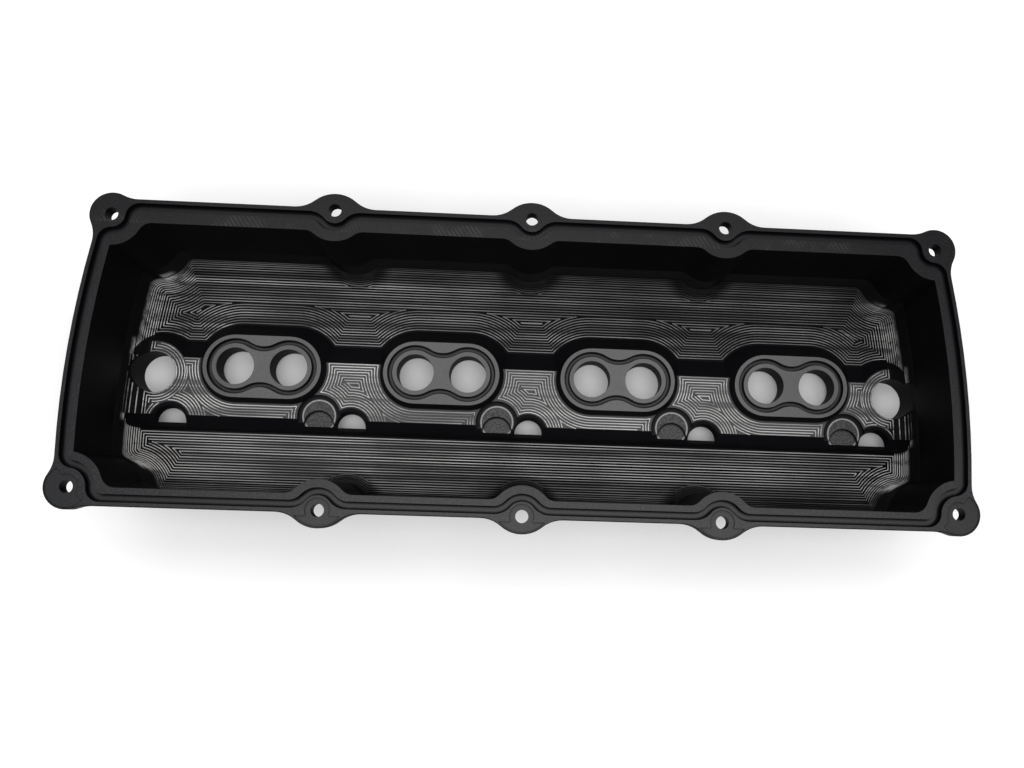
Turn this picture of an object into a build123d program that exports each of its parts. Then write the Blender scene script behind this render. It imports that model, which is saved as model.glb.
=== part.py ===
from build123d import *
import os

# An engine valve cover machined from one block of aluminium.
# It lies on the flat tops of its two domes, with its open side and its flange up.
# X runs along the engine, Y across the cover, Z up. Z = 0 is the plane of the dome tops,
# and the origin is under the middle of the cover. Depths are measured down from the flange.

# Driving dimensions, in millimetres
height = 82.5                # dome tops to flange face
bore_pitch = 113.3           # from one cylinder to the next
cylinder_count = 4
tower_shift = 2.2            # cylinder row, along X from the middle of the flange

# Flange
half_width = 87.3            # middle to the straight edge of the flange
end_reach = 258.2            # middle to the furthest point of a bowed end
bow_radius = 580.0           # radius of a bowed end
bow_y = -45.0                # where across the cover the ends reach furthest
flange_thick = 8.0           # plate outside the body wall
land_width = 2.4             # outer land of the flange face
groove_width = 4.5           # seal groove
groove_depth = 3.6
rib_width = 3.6              # inner land along the lower side and the ends
top_rib_width = 6.8          # inner land along the upper side
wall = 5.0                   # body wall below the flange
edge_break = 0.5             # chamfer along the flange's outer edge

# Bolts, from the middle of the cover
bolt_hole_r = 3.7
bolt_inset = 1.5             # middle bolts, inside the straight edges
top_corner_inset_x = 19.8    # corner bolts, inside the ends and the straight edges
top_corner_inset_y = 9.3
low_corner_inset_x = 8.1
low_corner_inset_y = 10.3
corner_ear_r = 12.6
ear_r = 18.0                 # ears at the middle bolts
ear_reach = 10.0             # edge of the ear beyond its bolt
ear_blend = 18.0             # hollow that joins an ear to the straight edge
seat_drop = 0.3              # seats round the lower bolts, below the flange face
seat_margin = 0.9            # rim left between a seat and the edge of its ear
seat_inner_r = 7.0           # seat round the hole
low_seat_reach = -3.1        # how far a seat's straight side lies inside its bolt
corner_seat_reach = 2.3
corner_turn = 50.0           # degrees, the corner seats' straight sides from the X axis

# Radii of the flange's lines round the bolts
top_land_r = 7.6             # edge of the land, at the outer side of the groove
low_land_r = 8.3
corner_land_r = 10.4         # at the lower corners
top_boss_r = 18.2            # cavity wall round the bolt bosses
low_boss_r = 17.4
corner_boss_r = 19.4         # at the lower corners
land_blend = 12.0            # outer line of the groove, at the middle bolts
corner_land_blend = 8.0
groove_blend = 9.0           # inner line of the groove, at the middle bolts
corner_groove_blend = 4.5
boss_blend = 8.0             # cavity wall

# Cavity
channel_floor = 5.0          # thickness under the two channels
channel_rise = 11.5          # from the channels up to the middle floor
channel_fillet = 7.5         # along the foot of the cavity wall
cove_r = 12.0                # hollow along the foot of the long walls
end_cove_r = 9.0             # hollow where the middle floor meets the end walls
end_lean = 6.0               # how far the end walls lean outward on their way down
end_lean_outside = 4.8
plateau_top_y = 8.6          # upper edge of the middle floor
upper_slope = 12.4           # width of the slope down to the upper channel
plateau_low_y = -28.4        # lower edge of the middle floor
shoulder_width = 6.1
shoulder_drop = 4.5
low_wall_y = -36.6           # foot of the wall between middle floor and lower channel

# Plug towers
tower_y = 3.6
tower_rise = 4.4             # from the middle floor up to the towers' faces
tower_length = 74.0
tower_width = 40.0
tower_skirt = 9.6            # how far a tower's side spreads down to the channel floor
plug_spacing = 33.4
plug_r = 11.8
plug_land = 2.7              # land round the plug bores
plug_groove_width = 3.3      # groove round that land
plug_groove_depth = 2.5
plug_waist_r = 14.5           # hollow of the groove between the bores

# Ports at both ends of the middle floor
port_inset = 20.2            # inside the flange's ends, before the shift of the row
port_y = -1.5
port_r = 13.2
port_pad_r = 20.0
port_rise = 8.5              # how far the ports cut up into the foot of the end walls

# Half-moon reliefs and stepped pockets along the lower edge of the middle floor
moon_y = -32.6
moon_r = 10.3
moon_through_r = 8.8
pocket_x = 36.4              # from the middle of a tower
pocket_y = -26.0
pocket_r = 13.6
pocket_drop = 1.6
inner_pocket_y = -32.0
inner_pocket_r = 9.8
inner_pocket_drop = 3.2

# Outer side
middle_floor_thick = 5.5     # under the middle floor, over the valley between the domes
valley_low_y = -32.8         # its vertical lower wall
slope_wall = 4.5             # wall of the slope and of the tower pockets
plug_boss_r = 15.8           # bosses round the plug bores, on the outer side
plug_boss_drop = 4.5
port_boss_r = 16.2
dome_edge = 4.0              # chamfer along the dome tops

# Depths worked out from the driving dimensions
channel_depth = height - channel_floor
plateau_depth = channel_depth - channel_rise
tower_depth = plateau_depth - tower_rise
valley_depth = plateau_depth + middle_floor_thick
port_top = plateau_depth - port_rise

# Places worked out from the driving dimensions
pair_gap = plug_spacing / 2
tower_x = [tower_shift + bore_pitch * (i - (cylinder_count - 1) / 2)
           for i in range(cylinder_count)]
middle_x = [bore_pitch * (i - (cylinder_count - 2) / 2) for i in range(cylinder_count - 1)]
moon_x = [tower_shift + bore_pitch * (i - cylinder_count / 2) for i in range(cylinder_count + 1)]
bolt_row_y = half_width - bolt_inset
top_middle = [(x, bolt_row_y) for x in middle_x]
low_middle = [(x, -bolt_row_y) for x in middle_x]
top_corner = [(side * (end_reach - top_corner_inset_x), half_width - top_corner_inset_y)
              for side in (-1, 1)]
low_corner = [(side * (end_reach - low_corner_inset_x), low_corner_inset_y - half_width)
              for side in (-1, 1)]
bolts = top_middle + low_middle + top_corner + low_corner
ports = [(tower_shift + side * (end_reach - port_inset), port_y) for side in (-1, 1)]
long_side = 4 * end_reach    # longer than the cover, for cutting bodies


def level(depth):
    """Height of a plane that lies so far below the flange face."""
    return height - depth


def between_bows(outline, inset):
    """The part of an outline between the bowed ends, which are drawn in by an inset."""
    for side in (-1, 1):
        centre = side * (end_reach - bow_radius)
        outline &= Pos(centre, bow_y) * Circle(bow_radius - inset)
    return outline


def band(inset, top_inset, lean=0):
    """The flange's plain outline drawn in by insets, its ends led back out by a lean."""
    upper = half_width - top_inset
    lower = -half_width + inset
    outline = Pos(0, (upper + lower) / 2) * Rectangle(2 * end_reach, upper - lower)
    return between_bows(outline, inset - lean)


def discs(points, radius):
    """One circle of the same radius at each point."""
    return [Pos(*point) * Circle(radius) for point in points]


def at_ends(vertices):
    """The corners of an outline that lie beside the corner bolts."""
    return [vertex for vertex in vertices if abs(vertex.X) > middle_x[-1] + bore_pitch / 2]


def round_bolts(inset, top_inset, top_r, low_r, corner_r, blend, corner_blend, lean=0):
    """A band that runs round every bolt in a smooth curve."""
    outline = band(inset, top_inset, lean)
    outline -= discs(top_middle + top_corner, top_r)
    outline -= discs(low_middle, low_r)
    outline -= discs(low_corner, corner_r)
    outline = fillet(at_ends(outline.vertices()), corner_blend)
    middle = [vertex for vertex in outline.vertices() if not at_ends([vertex])]
    return fillet(middle, blend)


def prism(outline, low_depth, high_depth):
    """A flat outline stood up between two depths."""
    return Pos(0, 0, level(low_depth)) * extrude(outline, low_depth - high_depth)


def spread(outline, high_depth, low_depth):
    """A solid whose outline spreads on its way down, as steeply as a tower's side."""
    growth = tower_skirt * (low_depth - high_depth) / (channel_depth - tower_depth)
    upper = Pos(0, 0, level(high_depth)) * outline
    lower = Pos(0, 0, level(low_depth)) * offset(outline, growth)
    return loft([upper.face(), lower.face()])


def along_cover(points):
    """A profile across the cover, given as places in Y and depths, run along its length."""
    section = make_face(Polyline([(0, y, level(depth)) for y, depth in points], close=True))
    return extrude(section, long_side / 2, dir=(1, 0, 0), both=True)


def flange_outline():
    """Outer edge of the flange, with an ear at every bolt."""
    outline = band(0, 0)
    ear_y = bolt_row_y + ear_reach - ear_r
    outline += discs([(x, ear_y) for x in middle_x], ear_r)
    outline += discs([(x, -ear_y) for x in middle_x], ear_r)
    outline += discs(top_corner + low_corner, corner_ear_r)
    return fillet(outline.vertices(), ear_blend)


# Lines of the flange face, from the outside in
groove_outer = round_bolts(land_width, land_width, top_land_r, low_land_r, corner_land_r,
                           land_blend, corner_land_blend)
groove_in = land_width + groove_width
groove_inner = round_bolts(groove_in, groove_in, top_land_r + groove_width,
                           low_land_r + groove_width, corner_land_r + groove_width,
                           groove_blend, corner_groove_blend)
cavity_in = groove_in + rib_width
cavity_top_in = groove_in + top_rib_width
cavity_lines = (cavity_in, cavity_top_in, top_boss_r, low_boss_r, corner_boss_r)

# Lines of the cavity's foot and of the body's outer side, below the flange
cavity_outline = round_bolts(*cavity_lines, boss_blend, boss_blend, end_lean)
body_outline = round_bolts(*[line - wall for line in cavity_lines], boss_blend + wall,
                           boss_blend + wall, end_lean_outside)


def block():
    """The flange plate on the outer form of the body, with chamfered dome tops."""
    plate = prism(flange_outline(), flange_thick, 0)
    plate = chamfer(plate.faces().sort_by(Axis.Z)[-1].outer_wire().edges(), edge_break)
    body = prism(body_outline, height, flange_thick / 2)
    body = chamfer(body.faces().sort_by(Axis.Z)[0].outer_wire().edges(), dome_edge)
    return plate + body


def middle_floor():
    """The raised floor between the channels, with the towers and the port pads on it."""
    below = channel_depth + channel_fillet
    floor = along_cover([(plateau_top_y, plateau_depth),
                         (plateau_top_y + upper_slope, channel_depth),
                         (plateau_top_y + upper_slope, below),
                         (low_wall_y, below),
                         (low_wall_y, channel_depth),
                         (plateau_low_y - shoulder_width, plateau_depth + shoulder_drop),
                         (plateau_low_y, plateau_depth)])
    for x in tower_x:
        oval = Pos(x, tower_y) * SlotOverall(tower_length, tower_width)
        floor += spread(oval, tower_depth, below)
    for port in ports:
        floor += spread(Pos(*port) * Circle(port_pad_r), plateau_depth, below)
    return floor + long_cove(half_width - cavity_top_in, 1) + long_cove(cavity_in - half_width, -1)


def long_cove(wall_y, side):
    """The hollow foot of a long wall, which ends in the channel floor."""
    middle_y = wall_y - side * cove_r
    upper = channel_depth - cove_r
    below = channel_depth + channel_fillet
    foot = along_cover([(wall_y + side, upper), (middle_y, upper),
                        (middle_y, below), (wall_y + side, below)])
    return foot - Pos(0, middle_y, level(upper)) * Rot(0, 90, 0) * Cylinder(cove_r, long_side)


def between_ends(depth):
    """All the space between the leaning end walls, down to a depth."""
    upper_r = bow_radius - cavity_in
    rise = channel_depth + 1
    cone = Cone(upper_r + end_lean, upper_r, rise, align=(Align.CENTER, Align.CENTER, Align.MIN))
    space = prism(Rectangle(2 * end_reach, 4 * half_width), depth, -1)
    for side in (-1, 1):
        space &= Pos(side * (end_reach - bow_radius), bow_y, level(channel_depth)) * cone
    return space


def end_coves():
    """The hollow feet of the end walls, where the middle floor meets them."""
    inside = between_ends(plateau_depth)
    floor_edges = inside.faces().sort_by(Axis.Z)[0].edges()
    inside = fillet(floor_edges.filter_by(GeomType.CIRCLE), end_cove_r)
    upper = plateau_depth - end_cove_r
    lower = plateau_depth + shoulder_drop
    foot = along_cover([(plateau_top_y, upper), (plateau_low_y, upper),
                        (plateau_low_y, lower), (plateau_top_y, lower)])
    return foot - inside


def cavity():
    """The space inside the cover, down to the channels and round everything on the floor."""
    space = prism(cavity_outline, channel_depth, -1)
    space = fillet(space.faces().sort_by(Axis.Z)[0].outer_wire().edges(), channel_fillet)
    space &= between_ends(channel_depth)
    return space - middle_floor() - end_coves()


def seal_groove():
    """The groove for the seal, between the two lands of the flange face."""
    return prism(groove_outer - groove_inner, groove_depth, -1)


def bolt_seat(bolt, ear, radius, reach, turn):
    """A seat on the outer part of an ear, which also runs round the bolt hole."""
    outer_part = Pos(*bolt) * Rot(0, 0, turn) * Pos(0, reach - half_width)
    seat = Pos(*ear) * Circle(radius) & outer_part * Rectangle(2 * half_width, 2 * half_width)
    seat += Pos(*bolt) * Circle(seat_inner_r)
    return prism(seat, seat_drop, -1)


def bolt_seats():
    """Shallow seats round the lower bolts, clear of the outer land of the flange."""
    ear_y = bolt_row_y + ear_reach - ear_r
    seats = [bolt_seat((x, y), (x, -ear_y), ear_r - seat_margin, low_seat_reach, 0)
             for x, y in low_middle]
    seats += [bolt_seat(bolt, bolt, corner_ear_r - seat_margin, corner_seat_reach,
                        corner_turn if bolt[0] > 0 else -corner_turn)
              for bolt in low_corner]
    return seats


def figure_eight(lobe_r, hollow_r):
    """Two round lobes about a pair of plug bores, joined by a hollow waist."""
    rise = ((lobe_r + hollow_r) ** 2 - pair_gap ** 2) ** 0.5
    waist_y = rise - hollow_r
    touch_x = pair_gap * hollow_r / (lobe_r + hollow_r)
    touch_y = rise * lobe_r / (lobe_r + hollow_r)
    end_x = pair_gap + lobe_r
    return make_face([
        ThreePointArc((touch_x, touch_y), (end_x, 0), (touch_x, -touch_y)),
        ThreePointArc((touch_x, -touch_y), (0, -waist_y), (-touch_x, -touch_y)),
        ThreePointArc((-touch_x, -touch_y), (-end_x, 0), (-touch_x, touch_y)),
        ThreePointArc((-touch_x, touch_y), (0, waist_y), (touch_x, touch_y))])


def plug_bores(x):
    """A pair of plug bores and the figure-eight groove that runs round them."""
    pair = [(-pair_gap, 0), (pair_gap, 0)]
    inner_r = plug_r + plug_land
    outer = figure_eight(inner_r + plug_groove_width, plug_waist_r)
    inner = figure_eight(inner_r, plug_waist_r + plug_groove_width)
    ring = prism(outer - inner, tower_depth + plug_groove_depth, tower_depth - 1)
    holes = [prism(disc, height, 0) for disc in discs(pair, plug_r)]
    return [Pos(x, tower_y) * cut for cut in [ring] + holes]


def moon_relief(x):
    """A round relief that opens a half-moon beside the valley's lower wall."""
    mouth = Pos(x, moon_y, level(plateau_depth)) * Circle(moon_r)
    throat = Pos(x, moon_y, level(valley_depth)) * Circle(moon_through_r)
    return loft([mouth.face(), throat.face()])


def stepped_pocket(x):
    """Two overlapping round recesses, the inner one deeper."""
    first = prism(Pos(x, pocket_y) * Circle(pocket_r), plateau_depth + pocket_drop, 0)
    second = prism(Pos(x, inner_pocket_y) * Circle(inner_pocket_r),
                   plateau_depth + inner_pocket_drop, 0)
    return [first, second]


def valley():
    """The space between the domes on the outer side, widened round each tower."""
    fall = channel_depth - plateau_depth
    slope_in = slope_wall * (fall ** 2 + upper_slope ** 2) ** 0.5 / fall
    start = plateau_top_y - slope_in + (valley_depth - plateau_depth) / fall * upper_slope
    run = (height - valley_depth) / fall * upper_slope
    space = along_cover([(valley_low_y, valley_depth),
                         (start, valley_depth),
                         (start + run, height),
                         (start + run, height + 1),
                         (valley_low_y, height + 1)])
    for x in tower_x:
        oval = Pos(x, tower_y) * SlotOverall(tower_length - slope_wall, tower_width - slope_wall)
        space += spread(oval, valley_depth, height) - lower_dome()
    return space


def lower_dome():
    """All that lies beyond the vertical wall of the valley, on the lower side."""
    beyond = Pos(0, valley_low_y - half_width) * Rectangle(long_side, 2 * half_width)
    return prism(beyond, height, 0)


def plug_boss(x):
    """The boss round a pair of plug bores, on the outer side."""
    oval = SlotOverall(plug_spacing + 2 * plug_boss_r, 2 * plug_boss_r)
    return prism(Pos(x, tower_y) * oval, valley_depth + plug_boss_drop, plateau_depth)


def port_boss(point):
    """The boss round an end port, on the outer side."""
    return prism(Pos(*point) * Circle(port_boss_r), height, port_top - wall)


body = block() - valley()
body += [plug_boss(x) for x in tower_x]
body += [port_boss(point) for point in ports]
cover = body - cavity() - seal_groove() - bolt_seats()
for x in tower_x:
    cover -= plug_bores(x)
    cover -= stepped_pocket(x + pocket_x)
for x in moon_x:
    cover -= moon_relief(x)
cover -= [prism(disc, height, port_top) for disc in discs(ports, port_r)]
cover -= [prism(disc, height, -1) for disc in discs(bolts, bolt_hole_r)]

os.makedirs("parts", exist_ok=True)
export_step(cover, "parts/valve_cover.step")
box = cover.bounding_box()
print(cover.volume, cover.is_valid, len(cover.solids()), box)
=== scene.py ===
"""Engine valve cover: tool marks, finish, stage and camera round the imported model."""

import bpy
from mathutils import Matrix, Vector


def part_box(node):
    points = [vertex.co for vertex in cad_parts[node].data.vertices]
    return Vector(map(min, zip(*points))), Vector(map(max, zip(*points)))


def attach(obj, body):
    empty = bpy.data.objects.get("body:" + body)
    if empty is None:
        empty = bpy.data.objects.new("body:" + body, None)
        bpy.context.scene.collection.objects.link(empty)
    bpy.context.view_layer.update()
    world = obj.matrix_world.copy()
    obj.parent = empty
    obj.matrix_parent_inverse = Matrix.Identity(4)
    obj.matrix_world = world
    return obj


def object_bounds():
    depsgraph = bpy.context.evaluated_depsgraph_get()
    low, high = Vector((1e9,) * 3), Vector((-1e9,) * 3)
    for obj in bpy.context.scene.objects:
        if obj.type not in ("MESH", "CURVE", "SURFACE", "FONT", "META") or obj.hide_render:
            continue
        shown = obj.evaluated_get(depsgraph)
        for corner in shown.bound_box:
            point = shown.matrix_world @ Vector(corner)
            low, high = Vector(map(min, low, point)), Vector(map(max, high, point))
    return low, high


bl_info = {
    "name": "Valve Cover",
    "version": (1, 0, 0),
    "blender": (4, 5, 0),
    "location": "3D View > Sidebar > Valve Cover",
    "description": "Finishes a machined engine valve cover and sets it on a stage",
    "category": "Object",
}

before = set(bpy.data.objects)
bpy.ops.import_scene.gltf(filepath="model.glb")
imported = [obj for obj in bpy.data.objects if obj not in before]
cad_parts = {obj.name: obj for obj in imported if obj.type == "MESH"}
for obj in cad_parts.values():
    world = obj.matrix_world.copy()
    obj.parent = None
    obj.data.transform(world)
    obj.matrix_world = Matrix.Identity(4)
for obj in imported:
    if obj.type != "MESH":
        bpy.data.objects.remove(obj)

import math

import bpy
import numpy as np
from bpy.props import FloatProperty, FloatVectorProperty, PointerProperty
from mathutils import Matrix

MM = 0.001
COVER = "valve_cover"
BODY = "root"
CAD_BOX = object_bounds()
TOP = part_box(COVER)[1].z

# Forms that the tool paths follow, as the solid has them
BORE_PITCH = 113.3 * MM
TOWER_SHIFT = 2.2 * MM
TOWER_COUNT = 4
TOWER_Y = 3.6 * MM
TOWER_DEPTH = 61.6 * MM
TOWER_R = 20.0 * MM
TOWER_HALF_FLAT = 17.0 * MM
SKIRT_SPREAD = 9.6 / 15.9      # widening of a tower's or a pad's skirt per depth
PLATEAU_DEPTH = 66.0 * MM
PLATEAU_TOP_Y = 8.6 * MM
PLATEAU_LOW_Y = -28.4 * MM
CHANNEL_DEPTH = 77.5 * MM
UPPER_FOOT_Y = 21.0 * MM
LOWER_FOOT_Y = -36.6 * MM
MOON_Y = -32.6 * MM
MOON_R = 10.3 * MM
POCKET_OFFSET = 36.4 * MM
POCKET_Y = -26.0 * MM
POCKET_R = 13.6 * MM
PORT_X = 238.0 * MM
PORT_Y = -1.5 * MM
PORT_R = 13.2 * MM
PAD_R = 20.0 * MM
UPPER_WALL_Y = 73.6 * MM
LOWER_WALL_Y = -76.8 * MM
COVE_R = 12.0 * MM
FOOT_R = 7.5 * MM
END_COVE_R = 9.0 * MM
EDGE = 0.5 * MM                # how far inside an edge its own line runs
MOON_RIM = 1.6 * MM            # band round a half-moon relief that has no line
BOLT_Y = 85.8 * MM
BOSS_FOOT_R = 25.7 * MM
BOW_R = 569.5 * MM
BOW_X = 321.8 * MM
BOW_Y = -45.0 * MM
END_LEAN = 6.0 * MM
TOP_CORNER = (238.4 * MM, 78.0 * MM)
TOP_CORNER_R = 18.2 * MM
LOW_CORNER = (250.1 * MM, -77.0 * MM)
LOW_CORNER_R = 19.4 * MM

# How the tool paths are worked out
SAMPLE = 0.5 * MM              # spacing of the points that a line is tested at
STRIDE = 6                     # every sixth of them is kept
MOST_LINES = 29                # tried round one form
SLACK = 0.3 * MM               # how much nearer another form may be than a line's own
WALL_LEVELS = 9                # passes up the walls above their hollow feet
WALL_ZONE = 62 * MM            # beyond this, across the cover, a slope is a long wall
END_ZONE = 15 * MM             # nearer than this to a bow, a slope is an end wall
WALL_UP = (-0.1, 0.9999)       # least and most that the normal of a wall points up
LONG_WALL_IN = -0.1            # least that the normal of a long wall points inward
END_WALL_IN = 0.03             # least that the normal of an end wall points inward
JOIN = 0.01 * MM               # ends of two edges that are nearer are one point
CREST_SIDES = 4                # corners of a crest's section

# How bright the crests are painted in each region, as a painted highlight for the light
# they catch, and what they gain on the left, at the ends and along a few bright lines
UPPER_WORTH, UPPER_LEFT, UPPER_ENDS = 0.27, 0.12, 0.35
LOWER_WORTH, LOWER_LEFT, LOWER_ENDS = 0.5, 0.3, 0.5
MIDDLE_WORTH, MIDDLE_LEFT = 0.48, 0.22
UPPER_LINE_Y = 63.0 * MM
UPPER_LINE, UPPER_LINE_LEFT = 0.1, 0.25
LOWER_LINE_YS = (-50.7 * MM, -39.0 * MM)
LOWER_LINE = 0.4

# Depths of the level faces: start and end of the step in, and then of the step out. The
# flange and the towers' lands have only the step out, and the channels only the step in.
TOWER_DEPTHS = (61 * MM, 61.4 * MM, 64.5 * MM, 65 * MM)
MIDDLE_DEPTHS = (65.4 * MM, 65.8 * MM, 66.2 * MM, 66.4 * MM)
POCKET_DEPTHS = (67.2 * MM, 67.4 * MM, 69.4 * MM, 69.6 * MM)
FLANGE_DEPTHS = (4 * MM, 5 * MM)
LAND_DEPTHS = (62.0 * MM, 63.5 * MM)
CHANNEL_DEPTHS = (77 * MM, 77.3 * MM)

# How satin the milled faces are. The flange loses some for each metre towards the top,
# painted shade that darkens it towards the top.
FLANGE_SATIN, FLANGE_FALL = 0.6, 3.2
MIDDLE_SATIN = 0.75
# Painted shade near a pocket's rim and a painted highlight along its step
POCKET_SATIN, POCKET_FLOOR_SATIN, POCKET_STEP_SATIN = 0.12, 0.6, 0.5
# Painted sheen on the channel floors, more on the lower one
CHANNEL_SATIN, LOWER_SATIN = 0.1, 0.25

# How much of the light sheen colour shows on them: painted sheen on the lands, the middle
# floor and the pocket floors, a painted highlight along the pockets' step, and grain and
# chatter marks
LAND_SHEEN, MIDDLE_SHEEN = 0.09, 0.05
POCKET_FLOOR_SHEEN, POCKET_STEP_HIGHLIGHT = 0.1, 0.4
GRAIN_WEAR, CHATTER_WEAR = 0.05, 0.08
CHATTER_PITCH = 2.6 * MM
CHATTER_SLANT = 0.7
MARK_HEIGHT = 0.02 * MM        # of the grain and the chatter in the bump
# Painted shade in inner corners
EDGE_REACH = 2 * MM            # how far an inner corner dulls the satin skin
AO_SAMPLES = 8

# Specular levels of the skins
CREST_SPECULAR = 0.4
HOLLOW_SPECULAR = 0.12
DULL_SPECULAR = 0.05

# Sockets of a Mix node that mixes colours
MIX_FACTOR, MIX_FIRST, MIX_SECOND, MIX_RESULT = 0, 6, 7, 2

NO_LIGHT = (0.0, 0.0, 0.0, 1.0)
WHITE = (1.0, 1.0, 1.0, 1.0)
FLOOR_SHADE = (0.6, 0.6, 0.6, 1.0)     # of the floor that the camera sees, under the lamps
# Painted shadow of the cover on the floor's glow
SHADE_REACH = 90 * MM                  # how far the cover darkens the floor's own glow
KEY_LAMP = ((0.12, -0.45, 1.1), (1.3, 1.0))     # place and size
BACK_LAMP = ((-0.1, 0.55, 1.1), (1.3, 0.7))
CAMERA_NEAR = 0.01


class PathSettings(bpy.types.PropertyGroup):
    """Passes of the tool over the floors and up the walls."""

    pitch: FloatProperty(
        name="Pitch", description="Distance between two passes",
        unit="LENGTH", default=1.75 * MM, min=1 * MM, max=10 * MM)
    crest_width: FloatProperty(
        name="Crest width", description="Width of the crest left between two passes",
        unit="LENGTH", default=0.75 * MM, min=0.1 * MM, max=1 * MM)
    crest_sink: FloatProperty(
        name="Crest sink", description="How far the middle of a crest lies under the floor",
        unit="LENGTH", default=0.1 * MM, min=0.0, max=0.5 * MM)


class CoverFinish(bpy.types.PropertyGroup):
    """Colours and sheen of the cover."""

    black: FloatVectorProperty(
        name="Black", description="Colour of the anodised skin",
        subtype="COLOR", size=4, default=(0.012, 0.0125, 0.0145, 1.0), min=0.0, max=1.0)
    # Colour of the painted highlight on the crests and of the painted sheen and marks on the milled
    # faces
    sheen_colour: FloatVectorProperty(
        name="Sheen", description="Colour of the skin along edges and crests",
        subtype="COLOR", size=4, default=(0.80, 0.795, 0.785, 1.0), min=0.0, max=1.0)
    # Painted shade: darker than the black skin, in the hollows between the crests and on the dull
    # walls and corners
    hollow: FloatVectorProperty(
        name="Hollows", description="Colour of the skin in the hollows between the crests",
        subtype="COLOR", size=4, default=(0.003, 0.003, 0.004, 1.0), min=0.0, max=1.0)
    roughness: FloatProperty(
        name="Roughness", description="Roughness of the faces without tool marks",
        subtype="FACTOR", default=0.42, min=0.0, max=1.0)


class StageSettings(bpy.types.PropertyGroup):
    """Floor, light and camera."""

    floor_size: FloatProperty(
        name="Floor size", description="Side of the square floor",
        unit="LENGTH", default=12.0, min=1.0)
    floor_colour: FloatVectorProperty(
        name="Floor", description="Colour of the paper floor",
        subtype="COLOR", size=4, default=(0.80, 0.80, 0.79, 1.0), min=0.0, max=1.0)
    glow: FloatProperty(
        name="Floor glow", description="How bright the open floor is without a lamp",
        default=0.66, min=0.0, max=1.0)
    key_power: FloatProperty(
        name="Key power", description="Power of the soft lamp in front",
        unit="POWER", default=9.9, min=0.0)
    back_power: FloatProperty(
        name="Back power", description="Power of the soft lamp behind",
        unit="POWER", default=6.6, min=0.0)
    sky: FloatProperty(
        name="Sky", description="Strength of the even light from all round",
        default=0.12, min=0.0)
    lens: FloatProperty(
        name="Lens", description="Focal length of the camera, in millimetres",
        default=29.883, min=1.0)
    camera_place: FloatVectorProperty(
        name="Camera place", description="Where the camera stands",
        subtype="TRANSLATION", unit="LENGTH", size=3,
        default=(-0.000673, -0.085791, 0.560652))
    camera_turn: FloatVectorProperty(
        name="Camera turn", description="Turns of the camera about X, Y and Z",
        subtype="EULER", unit="ROTATION", size=3, default=(0.105, -0.042, 0.035))
    camera_shift: FloatVectorProperty(
        name="Camera shift", description="Shift of the view, as a share of its width",
        size=2, default=(-0.0463, 0.0431))


class Circle:
    """A round form. Its lines are circles about the same middle."""

    def __init__(self, x, y, radius):
        self.x, self.y, self.radius = x, y, radius

    def distance(self, x, y):
        return np.hypot(x - self.x, y - self.y) - self.radius

    def line(self, offset, spacing):
        radius = self.radius + offset
        count = int(2 * math.pi * radius / spacing)
        angle = np.linspace(0, 2 * math.pi, count)
        return self.x + radius * np.cos(angle), self.y + radius * np.sin(angle)


class Oval(Circle):
    """A tower: two half circles joined by straight sides along X."""

    def distance(self, x, y):
        along = np.maximum(np.abs(x - self.x) - TOWER_HALF_FLAT, 0)
        return np.hypot(along, y - self.y) - self.radius

    def line(self, offset, spacing):
        x, y = super().line(offset, spacing)
        straight = np.arange(-TOWER_HALF_FLAT, TOWER_HALF_FLAT, spacing)
        radius = self.radius + offset
        right = x >= self.x
        order = np.argsort(np.arctan2(y[right] - self.y, x[right] - self.x))
        right_x, right_y = x[right][order] + TOWER_HALF_FLAT, y[right][order]
        return (np.concatenate([self.x + straight, right_x, self.x - straight,
                                2 * self.x - right_x, [self.x + straight[0]]]),
                np.concatenate([np.full_like(straight, self.y - radius), right_y,
                                np.full_like(straight, self.y + radius),
                                2 * self.y - right_y, [self.y - radius]]))


class Side:
    """A straight side along X. Its lines lie on the side that a sign gives."""

    def __init__(self, y, sign):
        self.y, self.sign = y, sign

    def distance(self, x, y):
        return (y - self.y) * self.sign

    def line(self, offset, spacing):
        x = np.arange(CAD_BOX[0][0], CAD_BOX[1][0], spacing)
        return x, np.full_like(x, self.y + offset * self.sign)


class Bow:
    """The foot of a bowed end wall. Its lines lie inside the bow."""

    def __init__(self, sign, radius):
        self.sign, self.radius = sign, radius

    def distance(self, x, y):
        return self.radius - np.hypot(x * self.sign + BOW_X, y - BOW_Y)

    def line(self, offset, spacing):
        radius = self.radius - offset
        y = np.arange(CAD_BOX[0][1], CAD_BOX[1][1], spacing)
        return self.sign * (np.sqrt(radius ** 2 - (y - BOW_Y) ** 2) - BOW_X), y


def row(first, count):
    """Places along X, one for each cylinder or bore gap."""
    return [first + BORE_PITCH * index for index in range(count)]


TOWER_XS = row(TOWER_SHIFT - BORE_PITCH * (TOWER_COUNT - 1) / 2, TOWER_COUNT)
MOON_XS = row(TOWER_SHIFT - BORE_PITCH * TOWER_COUNT / 2, TOWER_COUNT + 1)
PORT_XS = [TOWER_SHIFT - PORT_X, TOWER_SHIFT + PORT_X]
ENDS = (-1, 1)


def skirt(top, bottom):
    """How far a splayed skirt reaches out from one depth to a lower one."""
    return (bottom - top) * SKIRT_SPREAD


def channel_ends(pitch):
    """The end walls' hollow feet in a channel, with their first line at the foot."""
    return [Bow(sign, BOW_R + END_LEAN - FOOT_R + pitch) for sign in ENDS]


def middle_ends():
    """The end walls' rounded feet on the middle floor."""
    lean = END_LEAN * PLATEAU_DEPTH / CHANNEL_DEPTH
    return [Bow(sign, BOW_R + lean - END_COVE_R) for sign in ENDS]


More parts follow.
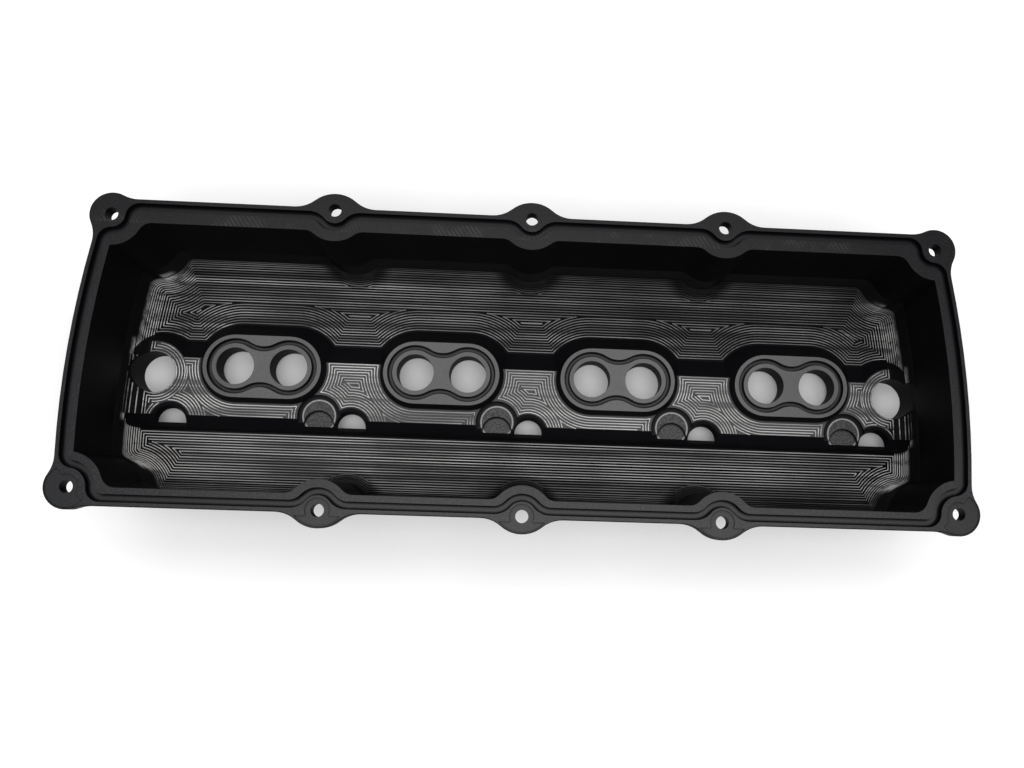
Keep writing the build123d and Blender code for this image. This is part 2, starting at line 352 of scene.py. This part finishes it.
def upper_channel(pitch):
    """Forms round the floor of the upper channel. The walls' first line is at their foot."""
    tower_r = TOWER_R + skirt(TOWER_DEPTH, CHANNEL_DEPTH)
    pad_r = PAD_R + skirt(PLATEAU_DEPTH, CHANNEL_DEPTH)
    corner_x, corner_y = TOP_CORNER
    forms = [Side(UPPER_FOOT_Y, 1), Side(UPPER_WALL_Y - COVE_R + pitch, -1)]
    forms += [Oval(x, TOWER_Y, tower_r) for x in TOWER_XS]
    forms += [Circle(x, PORT_Y, pad_r) for x in PORT_XS]
    forms += [Circle(sign * corner_x, corner_y, TOP_CORNER_R + FOOT_R - pitch) for sign in ENDS]
    return forms + channel_ends(pitch)


def lower_channel(pitch):
    """Forms round the floor of the lower channel. The walls' first line is at their foot."""
    corner_x, corner_y = LOW_CORNER
    forms = [Side(LOWER_FOOT_Y, -1), Side(LOWER_WALL_Y + COVE_R - pitch, 1)]
    forms += [Circle(sign * corner_x, corner_y, LOW_CORNER_R + FOOT_R - pitch) for sign in ENDS]
    return forms + channel_ends(pitch)


def middle_floor(pitch):
    """Forms round the middle floor, whose upper edge has a line of its own."""
    tower_r = TOWER_R + skirt(TOWER_DEPTH, PLATEAU_DEPTH)
    forms = [Side(PLATEAU_TOP_Y + pitch - EDGE, -1)]
    forms += [Oval(x, TOWER_Y, tower_r) for x in TOWER_XS]
    forms += [Circle(x, MOON_Y, MOON_R + MOON_RIM) for x in MOON_XS]
    forms += [Circle(x + POCKET_OFFSET, POCKET_Y, POCKET_R) for x in TOWER_XS]
    forms += [Circle(x, PORT_Y, PORT_R) for x in PORT_XS]
    return forms + middle_ends()


def port_pads(pitch):
    """Forms on the round pads of the two ports, whose bore has a line of its own."""
    return [Circle(x, PORT_Y, PORT_R + EDGE - pitch) for x in PORT_XS] + middle_ends()


def from_port(x, y):
    """How far a place is from the middle of the nearer port, along X and along Y."""
    return x - np.where(x < TOWER_SHIFT, *PORT_XS), y - PORT_Y


def on_upper_channel(x, y):
    """Where the floor of the upper channel can be."""
    return (y > UPPER_FOOT_Y) & (y < UPPER_WALL_Y)


def on_lower_channel(x, y):
    """Where the floor of the lower channel can be."""
    return (y < LOWER_FOOT_Y) & (y > LOWER_WALL_Y)


def on_pad(x, y):
    """Where the middle floor is the round pad of a port."""
    return np.hypot(*from_port(x, y)) < PAD_R


def on_middle_floor(x, y):
    """Where the middle floor is flat between its edges, clear of the pads."""
    return (y < PLATEAU_TOP_Y) & (y > PLATEAU_LOW_Y) & ~on_pad(x, y)


def floor_lines(forms, inside, pitch):
    """Lines at whole pitches from the nearest form, in runs of points."""
    runs = []
    for form in forms:
        for index in range(1, MOST_LINES + 1):
            offset = index * pitch
            x, y = form.line(offset, SAMPLE)
            nearest = np.min([other.distance(x, y) for other in forms], axis=0)
            kept = inside(x, y) & (nearest > offset - SLACK)
            breaks = np.flatnonzero(np.diff(kept.astype(int))) + 1
            for part in np.split(np.arange(len(x)), breaks):
                if kept[part[0]] and len(part) > STRIDE:
                    points = np.append(part[:-1:STRIDE], part[-1])
                    runs.append(np.stack([x[points], y[points]], axis=1))
    return runs


def cover_triangles():
    """Corners and unit normals of the cover's triangles."""
    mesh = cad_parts[COVER].data
    points = np.empty(3 * len(mesh.vertices))
    mesh.vertices.foreach_get("co", points)
    mesh.calc_loop_triangles()
    corners = np.empty(3 * len(mesh.loop_triangles), dtype=int)
    mesh.loop_triangles.foreach_get("vertices", corners)
    triangles = points.reshape(-1, 3)[corners].reshape(-1, 3, 3)
    normals = np.cross(triangles[:, 1] - triangles[:, 0], triangles[:, 2] - triangles[:, 0])
    return triangles, normals / np.linalg.norm(normals, axis=1)[:, None].clip(1e-12)


def inner_walls(triangles, normals):
    """The triangles of the cavity's walls and of their hollow feet."""
    x, y, _ = triangles.mean(axis=1).T
    normal_x, normal_y, normal_z = normals.T
    least_up, most_up = WALL_UP
    sloping = (normal_z > least_up) & (normal_z < most_up)

    long_wall = (np.abs(y) > WALL_ZONE) & (-normal_y * np.sign(y) > LONG_WALL_IN)
    bow = BOW_R + END_LEAN - np.hypot(np.abs(x) + BOW_X, y - BOW_Y)
    end_wall = (bow < END_ZONE) & (-normal_x * np.sign(x) > END_WALL_IN)
    top_corner = np.hypot(np.abs(x) - TOP_CORNER[0], y - TOP_CORNER[1]) - TOP_CORNER_R
    low_corner = np.hypot(np.abs(x) - LOW_CORNER[0], y - LOW_CORNER[1]) - LOW_CORNER_R
    corner = np.where(y > 0, top_corner, low_corner)
    corner_wall = (corner > -MM) & (corner < FOOT_R)

    in_room = (bow > 0) & (y < UPPER_WALL_Y + EDGE) & (y > LOWER_WALL_Y - EDGE)
    port_x, port_y = from_port(x, y)
    port = np.hypot(port_x, port_y)
    pad_r = PAD_R + skirt(PLATEAU_DEPTH, CHANNEL_DEPTH)
    faces_away = normal_x * port_x + normal_y * port_y > 0
    on_skirt = faces_away & (port < pad_r + MM) & (y > PLATEAU_TOP_Y)
    clear_of_ports = (port > PORT_R + MM) & ~on_skirt
    return triangles[sloping & in_room & clear_of_ports & (long_wall | end_wall | corner_wall)]


def level_lines(triangles, height):
    """Where a level plane cuts the triangles, as pairs of points."""
    pairs = []
    above = triangles[:, :, 2] > height
    for corners, over in zip(triangles, above):
        if over.all() or not over.any():
            continue
        cut = []
        for first, second in ((0, 1), (1, 2), (2, 0)):
            if over[first] != over[second]:
                start, end = corners[first], corners[second]
                cut.append(start + (end - start) * (height - start[2]) / (end[2] - start[2]))
        pairs.append(cut)
    return pairs


def wall_heights(pitch):
    """Heights of the passes up a hollow foot and the wall above it."""
    floor = TOP - CHANNEL_DEPTH
    bends = np.arange(1, int(COVE_R * math.pi / 2 / pitch)) * pitch / COVE_R
    heights = [floor + COVE_R * (1 - math.cos(bend)) for bend in bends]
    return heights + [floor + COVE_R + index * pitch for index in range(WALL_LEVELS)]


def path_mesh(settings):
    """A mesh of loose edges, one chain for each pass of the tool."""
    points, edges = [], []
    low = TOP - CHANNEL_DEPTH - settings.crest_sink
    high = TOP - PLATEAU_DEPTH - settings.crest_sink
    pitch = settings.pitch
    floors = ((upper_channel(pitch), on_upper_channel, low),
              (lower_channel(pitch), on_lower_channel, low),
              (middle_floor(pitch), on_middle_floor, high),
              (port_pads(pitch), on_pad, high))
    for forms, inside, height in floors:
        for run in floor_lines(forms, inside, pitch):
            start = len(points)
            points += [(x, y, height) for x, y in run]
            edges += [(start + index, start + index + 1) for index in range(len(run) - 1)]
    walls = inner_walls(*cover_triangles())
    for height in wall_heights(pitch):
        for pair in level_lines(walls, height):
            edges.append((len(points), len(points) + 1))
            points += pair
    mesh = bpy.data.meshes.new("tool_paths")
    mesh.from_pydata(points, edges, [])
    return mesh


def crest_tree():
    """Geometry nodes that lay a crest along every chain of edges."""
    tree = bpy.data.node_groups.new("tool_crests", "GeometryNodeTree")
    interface = tree.interface
    interface.new_socket("Paths", in_out="INPUT", socket_type="NodeSocketGeometry")
    interface.new_socket("Crest Width", in_out="INPUT", socket_type="NodeSocketFloat")
    interface.new_socket("Skin", in_out="INPUT", socket_type="NodeSocketMaterial")
    interface.new_socket("Crests", in_out="OUTPUT", socket_type="NodeSocketGeometry")
    net = Net(tree)
    given = net.add("NodeGroupInput", output="Paths")
    joined = net.add("GeometryNodeMergeByDistance",
                     sockets={"Geometry": given, "Distance": JOIN})
    paths = net.add("GeometryNodeMeshToCurve", sockets={"Mesh": joined})
    ring = net.add("GeometryNodeCurvePrimitiveCircle",
                   sockets={"Resolution": CREST_SIDES,
                            "Radius": given.output("Crest Width") * 0.5})
    crests = net.add("GeometryNodeCurveToMesh",
                     sockets={"Curve": paths, "Profile Curve": ring, "Fill Caps": True})
    smooth = net.add("GeometryNodeSetShadeSmooth", sockets={"Geometry": crests})
    real = net.add("GeometryNodeRealizeInstances", sockets={"Geometry": smooth})
    finished = net.add("GeometryNodeSetMaterial",
                       sockets={"Geometry": real, "Material": given.output("Skin")})
    net.add("NodeGroupOutput", sockets={"Crests": finished})
    return tree


def evaluated_mesh(obj, tree, inputs):
    """The plain mesh that a geometry node tree makes of an object."""
    modifier = obj.modifiers.new(tree.name, "NODES")
    modifier.node_group = tree
    for item in tree.interface.items_tree:
        if item.name in inputs:
            modifier[item.identifier] = inputs[item.name]
    graph = bpy.context.evaluated_depsgraph_get()
    mesh = bpy.data.meshes.new_from_object(obj.evaluated_get(graph))
    obj.modifiers.remove(modifier)
    return mesh


class CutCrests(bpy.types.Operator):
    """Lays the crests that the tool left on the floors and the walls."""

    bl_idname = "valve_cover.cut_crests"
    bl_label = "Cut the Crests"

    def execute(self, context):
        settings = context.scene.cover_paths
        crests = bpy.data.objects.new("tool_crests", path_mesh(settings))
        context.collection.objects.link(crests)
        skin = crest_material(context.scene.cover_finish)
        inputs = {"Crest Width": settings.crest_width, "Skin": skin}
        crests.data = evaluated_mesh(crests, crest_tree(), inputs)
        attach(crests, BODY)
        return {"FINISHED"}


class Value:
    """A socket that can stand in an expression. Each operator adds its Math node."""

    def __init__(self, net, socket):
        self.net = net
        self.socket = socket

    def output(self, name):
        return Value(self.net, self.socket.node.outputs[name])

    def __add__(self, other):
        return self.net.math("ADD", self, other)

    def __radd__(self, other):
        return self.net.math("ADD", other, self)

    def __sub__(self, other):
        return self.net.math("SUBTRACT", self, other)

    def __rsub__(self, other):
        return self.net.math("SUBTRACT", other, self)

    def __mul__(self, other):
        return self.net.math("MULTIPLY", self, other)

    def __rmul__(self, other):
        return self.net.math("MULTIPLY", other, self)

    def __truediv__(self, other):
        return self.net.math("DIVIDE", self, other)

    def __abs__(self):
        return self.net.math("ABSOLUTE", self)

    def round(self):
        return self.net.math("ROUND", self)

    def root(self):
        return self.net.math("SQRT", self)

    def cosine(self):
        return self.net.math("COSINE", self)

    def least(self, other):
        return self.net.math("MINIMUM", self, other)

    def most(self, other):
        return self.net.math("MAXIMUM", self, other)

    def rise(self, low, high):
        """0 below low and 1 above high, with a smooth step between."""
        return self.net.add("ShaderNodeMapRange", interpolation_type="SMOOTHSTEP",
                            sockets={0: self, 1: low, 2: high, 3: 0.0, 4: 1.0})

    def fall(self, low, high):
        """1 below low and 0 above high."""
        return 1.0 - self.rise(low, high)

    def band(self, start, full, fading, end):
        """1 from full to fading, and 0 before start and after end."""
        return self.rise(start, full) * self.fall(fading, end)

    def near(self, middle, full, end):
        """1 nearer to the middle than full, and 0 further than end."""
        return abs(self - middle).fall(full, end)


class Net:
    """A node tree that is being filled."""

    def __init__(self, tree):
        self.tree = tree
        tree.nodes.clear()

    def add(self, kind, output=0, sockets=None, **settings):
        """Adds a node, makes its settings, and fills or links its sockets."""
        node = self.tree.nodes.new(kind)
        for name, setting in settings.items():
            setattr(node, name, setting)
        for key, value in (sockets or {}).items():
            if isinstance(value, Value):
                self.tree.links.new(value.socket, node.inputs[key])
            else:
                node.inputs[key].default_value = value
        if len(node.outputs):
            return Value(self, node.outputs[output])
        return None

    def math(self, operation, *values):
        return self.add("ShaderNodeMath", operation=operation, sockets=dict(enumerate(values)))

    def mix(self, factor, first, second):
        """A colour between two."""
        return self.add("ShaderNodeMix", output=MIX_RESULT, data_type="RGBA",
                        sockets={MIX_FACTOR: factor, MIX_FIRST: first, MIX_SECOND: second})

    def noise(self, vector, scale, detail=3.0, roughness=0.5):
        return self.add("ShaderNodeTexNoise",
                        sockets={"Vector": vector, "Scale": scale, "Detail": detail,
                                 "Roughness": roughness})

    def combine(self, x, y, z):
        """A vector of three numbers."""
        return self.add("ShaderNodeCombineXYZ", sockets={0: x, 1: y, 2: z})


def blend(factor, first, second):
    """A number between two."""
    return first + (second - first) * factor


def length(x, y):
    """The length of a flat vector."""
    return (x * x + y * y).root()


def ridges(distance, pitch):
    """Parallel ridges over a distance, from 0 in a hollow to 1 on a ridge."""
    return (distance * (2 * math.pi / pitch)).cosine() * 0.5 + 0.5


def new_net(name):
    """A new material and the net of its nodes."""
    material = bpy.data.materials.new(name)
    material.use_nodes = True
    return material, Net(material.node_tree)


def position(net):
    """The place of a point of the surface, and its X, Y and Z."""
    place = net.add("ShaderNodeTexCoord", output="Object")
    x = net.add("ShaderNodeSeparateXYZ", sockets={0: place})
    return place, x, x.output("Y"), x.output("Z")


def crest_highlight(left, bow, y, depth):
    """How bright the painted highlight on the crests is. It is brightest at the ends and on the
    left.
    """
    ends = bow.fall(9 * MM, 20 * MM)
    upper_line = y.near(UPPER_LINE_Y, 1 * MM, 3 * MM)
    first_line, second_line = (y.near(line, 0.6 * MM, 1.4 * MM) for line in LOWER_LINE_YS)
    upper = UPPER_WORTH + left * UPPER_LEFT + ends * UPPER_ENDS
    upper = upper + upper_line * (UPPER_LINE + left * UPPER_LINE_LEFT)
    lower = LOWER_WORTH + left * LOWER_LEFT + (first_line + second_line) * LOWER_LINE
    lower = lower + ends * LOWER_ENDS
    on_middle = depth.fall(68 * MM, 70 * MM) * abs(y).fall(40 * MM, 44 * MM)
    channels = blend(y.fall(-40 * MM, -30 * MM), upper, lower)
    return blend(on_middle, channels, MIDDLE_WORTH + left * MIDDLE_LEFT)


def crest_share(left, bow, x, y, depth):
    """How plain the crests are: painted shade fades them up the walls and on the feet of the bolt
    bosses.
    """
    long_wall = abs(y).rise(60 * MM, 64 * MM)
    channels = y.rise(17 * MM, 21 * MM).most(y.fall(-34 * MM, -30 * MM))
    end_foot = bow.fall(FOOT_R, FOOT_R + 2 * MM) * channels
    climb = depth - y.fall(-66 * MM, -62 * MM) * (4 * MM)
    share = blend(long_wall.most(end_foot),
                  depth.rise(58 * MM, 66 * MM), climb.rise(65 * MM, 77 * MM))
    share = share * (1.0 - long_wall * (1.0 - left) * 0.35)
    bolt_x = abs(x - (x / BORE_PITCH).round() * BORE_PITCH)
    past_bolts = abs(x).rise(140 * MM, 150 * MM)    # a metre more, so that nothing fades there
    boss = length(bolt_x + past_bolts, abs(y) - BOLT_Y)
    return share * (boss.rise(BOSS_FOOT_R - 5 * MM, BOSS_FOOT_R + 3 * MM) * 0.9 + 0.1)


def crest_material(finish):
    """Skin painted bright along the crests as a painted highlight, that painted shade fades to
    black up the walls.
    """
    material, net = new_net("crest_skin")
    place, x, y, z = position(net)
    depth = TOP - z
    left = x.fall(-160 * MM, 60 * MM)
    bow = BOW_R + END_LEAN - length(abs(x) + BOW_X, y - BOW_Y)
    cloud = net.noise(place, scale=18.0)
    drawn_out = net.combine(x * 4.0, y * 200.0, z * 200.0)
    streak = net.noise(drawn_out, scale=1.0, roughness=0.65)
    grain = net.noise(place, scale=2600.0)
    # Painted highlight: the crests are lighter where they catch the light
    shine = crest_highlight(left, bow, y, depth) * (cloud.rise(0.3, 0.7) * 0.7 + 0.65)
    shine = shine * (streak.rise(0.35, 0.65) * 1.3 + 0.35)
    roughness = finish.roughness - 0.1 + grain * 0.1
    bright = net.add("ShaderNodeBsdfPrincipled",
                     sockets={"Base Color": net.mix(shine.least(1.0), finish.black, finish.sheen_colour),
                              "Roughness": roughness, "Specular IOR Level": CREST_SPECULAR})
    # Painted shade in the hollows between the crests
    dark = net.add("ShaderNodeBsdfPrincipled",
                   sockets={"Base Color": finish.hollow, "Roughness": roughness,
                            "Specular IOR Level": HOLLOW_SPECULAR})
    # Painted shade fades the crests to black up the walls
    share = crest_share(left, bow, x, y, depth)
    surface = net.add("ShaderNodeMixShader", sockets={0: share, 1: dark, 2: bright})
    net.add("ShaderNodeOutputMaterial", sockets={"Surface": surface})
    return material


def milled_faces(net, place, x, y, depth):
    """How satin the milled faces are, how much painted sheen they have, and where the flange is."""
    up = net.add("ShaderNodeSeparateXYZ", output="Z", sockets={0: place.output("Normal")})
    flat = up.rise(0.90, 0.98)
    flange = flat * depth.fall(*FLANGE_DEPTHS)
    tower = flat * depth.band(*TOWER_DEPTHS)
    land = tower * depth.fall(*LAND_DEPTHS)

    along = x - ((x - MOON_XS[0]) / BORE_PITCH).round() * BORE_PITCH - MOON_XS[0]
    moon = length(along, y - MOON_Y)
    middle = flat * depth.band(*MIDDLE_DEPTHS) * abs(y).fall(28 * MM, 29 * MM)
    middle = middle * moon.rise(MOON_R + MOON_RIM, MOON_R + 3 * MM)
    middle = middle * abs(x).fall(234 * MM, 242 * MM)

    rim = POCKET_R - length(along - (POCKET_OFFSET - BORE_PITCH / 2), y - POCKET_Y)
    speckle = net.noise(place, scale=900.0, detail=2.0).rise(0.3, 0.7) * 0.5 + 0.5
    # Painted shade: a pocket's floor is darker near its rim
    floor = rim.rise(2 * MM, 5 * MM) * speckle
    # Painted highlight: a bright arc along the pocket's step
    step = rim.near(3.4 * MM, 0.3 * MM, 0.7 * MM)
    pocket = flat * depth.band(*POCKET_DEPTHS)

    level = up.rise(0.99, 0.999)
    # Painted sheen on the channel floors, towards the left
    channel = flat * depth.rise(*CHANNEL_DEPTHS) * level * x.fall(-180 * MM, 20 * MM)
    channel = channel * (CHANNEL_SATIN + y.fall(-40 * MM, -30 * MM) * LOWER_SATIN)

    # Painted shade: the flange is darker towards the top
    milled = flange * (FLANGE_SATIN - y * FLANGE_FALL) + tower
    milled = milled + pocket * (POCKET_SATIN + floor * POCKET_FLOOR_SATIN
                                + step * POCKET_STEP_SATIN)
    milled = milled + middle * MIDDLE_SATIN + channel
    outside = 1.0 - up.rise(-0.9, -0.5)
    # Painted sheen on the lands, the middle floor and the pockets
    face_sheen = land * LAND_SHEEN + middle * MIDDLE_SHEEN
    face_sheen = face_sheen + pocket * (floor * POCKET_FLOOR_SHEEN + step * POCKET_STEP_HIGHLIGHT)
    return milled.most(outside), face_sheen, flange


def cover_material(finish):
    """Satin skin with painted sheen on the milled faces, and dull black skin in the tool's hollows
    and on walls, with painted shade in inner corners.
    """
    material, net = new_net("anodised_skin")
    place, x, y, z = position(net)
    satin, face_sheen, flange = milled_faces(net, place, x, y, TOP - z)
    # Painted shade: inner corners dull the satin skin
    ao_shade = net.add("ShaderNodeAmbientOcclusion", output="AO",
                       samples=AO_SAMPLES, only_local=True, sockets={"Distance": EDGE_REACH})
    grain = net.noise(place, scale=1800.0)
    cloud = net.noise(place, scale=22.0)
    patches = net.noise(place, scale=60.0, detail=2.0).rise(0.5, 0.7)
    top_rib = flange * y.band(73 * MM, 73.5 * MM, 80 * MM, 80.5 * MM)
    top_rib = top_rib * x.fall(180 * MM, 200 * MM)
    chatter = ridges(x + y * CHATTER_SLANT, CHATTER_PITCH) * patches * top_rib
    sheen = (face_sheen + grain.rise(0.45, 0.75) * GRAIN_WEAR) * (cloud * 0.8 + 0.6)
    sheen = sheen + chatter * CHATTER_WEAR
    height = (grain + chatter) * MARK_HEIGHT
    normal = net.add("ShaderNodeBump", sockets={"Strength": 1.0, "Distance": 1.0, "Height": height})
    smooth = net.add("ShaderNodeBsdfPrincipled",
                     sockets={"Base Color": net.mix(sheen.least(1.0), finish.black, finish.sheen_colour),
                              "Roughness": finish.roughness + (grain - 0.5) * 0.2,
                              "Normal": normal})
    # Painted shade: the dull skin is darkened towards the hollows' black on walls and in corners
    dull = net.add("ShaderNodeBsdfPrincipled",
                   sockets={"Base Color": net.mix(cloud * 0.4, finish.hollow, finish.black),
                            "Roughness": finish.roughness + 0.1 + grain * 0.1,
                            "Specular IOR Level": DULL_SPECULAR, "Normal": normal})
    share = satin * ao_shade.rise(0.68, 0.99)
    surface = net.add("ShaderNodeMixShader", sockets={0: share, 1: dull, 2: smooth})
    net.add("ShaderNodeOutputMaterial", sockets={"Surface": surface})
    return material


class FinishCover(bpy.types.Operator):
    """Gives the cover its anodised finish."""

    bl_idname = "valve_cover.finish_cover"
    bl_label = "Finish the Cover"

    def execute(self, context):
        material = cover_material(context.scene.cover_finish)
        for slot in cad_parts[COVER].material_slots:
            slot.material = material
        return {"FINISHED"}


def floor_material(stage):
    """Pale paper that looks white in the open and keeps the cover's shade, with a painted shadow of
    the cover darkening its glow.
    """
    material, net = new_net("paper_floor")
    ray = net.add("ShaderNodeLightPath", output="Is Camera Ray")
    seen = ray.most(ray.output("Is Glossy Ray")).most(ray.output("Is Transmission Ray"))
    paper = net.add("ShaderNodeBsdfDiffuse", sockets={"Color": stage.floor_colour})
    # Painted shadow: the floor's glow darkens near and under the cover
    ao_shade = net.add("ShaderNodeAmbientOcclusion", output="AO", samples=AO_SAMPLES,
                       sockets={"Distance": SHADE_REACH})
    glow = net.add("ShaderNodeEmission", sockets={"Color": net.mix(ao_shade, NO_LIGHT, WHITE),
                                                  "Strength": stage.glow})
    shade = net.add("ShaderNodeBsdfDiffuse", sockets={"Color": FLOOR_SHADE})
    bright = net.add("ShaderNodeAddShader", sockets={0: shade, 1: glow})
    surface = net.add("ShaderNodeMixShader", sockets={0: seen, 1: paper, 2: bright})
    net.add("ShaderNodeOutputMaterial", sockets={"Surface": surface})
    return material


def soft_lamp(name, place, size, power):
    """A wide lamp that faces straight down."""
    light = bpy.data.lights.new(name, "AREA")
    light.shape = "RECTANGLE"
    light.size, light.size_y = size
    light.energy = power
    lamp = bpy.data.objects.new(name, light)
    lamp.location = place
    bpy.context.collection.objects.link(lamp)


class MakeStage(bpy.types.Operator):
    """Lays the floor, hangs the lamps and places the camera."""

    bl_idname = "valve_cover.make_stage"
    bl_label = "Make the Stage"

    def execute(self, context):
        stage = context.scene.cover_stage
        half = stage.floor_size / 2
        mesh = bpy.data.meshes.new("floor")
        mesh.from_pydata([(-half, -half, 0), (half, -half, 0), (half, half, 0), (-half, half, 0)],
                         [], [(0, 1, 2, 3)])
        mesh.materials.append(floor_material(stage))
        floor = bpy.data.objects.new("floor", mesh)
        context.collection.objects.link(floor)

        soft_lamp("key", *KEY_LAMP, stage.key_power)
        soft_lamp("back", *BACK_LAMP, stage.back_power)

        world = bpy.data.worlds.new("studio")
        world.use_nodes = True
        net = Net(world.node_tree)
        sky = net.add("ShaderNodeBackground",
                      sockets={"Color": WHITE, "Strength": stage.sky})
        net.add("ShaderNodeOutputWorld", sockets={"Surface": sky})
        context.scene.world = world
        context.scene.view_settings.view_transform = "Standard"

        data = bpy.data.cameras.new("camera")
        data.lens = stage.lens
        data.shift_x, data.shift_y = stage.camera_shift
        data.clip_start = CAMERA_NEAR
        camera = bpy.data.objects.new("camera", data)
        turn = Matrix.Identity(4)
        for angle, axis in zip(stage.camera_turn, "XYZ"):
            turn = turn @ Matrix.Rotation(angle, 4, axis)
        camera.matrix_world = Matrix.Translation(stage.camera_place) @ turn
        context.collection.objects.link(camera)
        context.scene.camera = camera
        return {"FINISHED"}


class ValveCoverPanel(bpy.types.Panel):
    """Lists the steps that finish and stage the cover, each with its settings."""

    bl_idname = "VIEW3D_PT_valve_cover"
    bl_label = "Valve Cover"
    bl_space_type = "VIEW_3D"
    bl_region_type = "UI"
    bl_category = "Valve Cover"

    def draw(self, context):
        scene = context.scene
        steps = ((scene.cover_paths, CutCrests), (scene.cover_finish, FinishCover),
                 (scene.cover_stage, MakeStage))
        for settings, operator in steps:
            box = self.layout.box()
            for name in settings.bl_rna.properties.keys():
                if name not in ("rna_type", "name"):
                    box.prop(settings, name)
            box.operator(operator.bl_idname)


CLASSES = (PathSettings, CoverFinish, StageSettings, CutCrests, FinishCover, MakeStage,
           ValveCoverPanel)


def register():
    for cls in CLASSES:
        bpy.utils.register_class(cls)
    bpy.types.Scene.cover_paths = PointerProperty(type=PathSettings)
    bpy.types.Scene.cover_finish = PointerProperty(type=CoverFinish)
    bpy.types.Scene.cover_stage = PointerProperty(type=StageSettings)


def unregister():
    del bpy.types.Scene.cover_stage
    del bpy.types.Scene.cover_finish
    del bpy.types.Scene.cover_paths
    for cls in reversed(CLASSES):
        bpy.utils.unregister_class(cls)


def main():
    register()
    bpy.ops.valve_cover.cut_crests()
    bpy.ops.valve_cover.finish_cover()
    bpy.ops.valve_cover.make_stage()


if __name__ == "__main__":
    main()
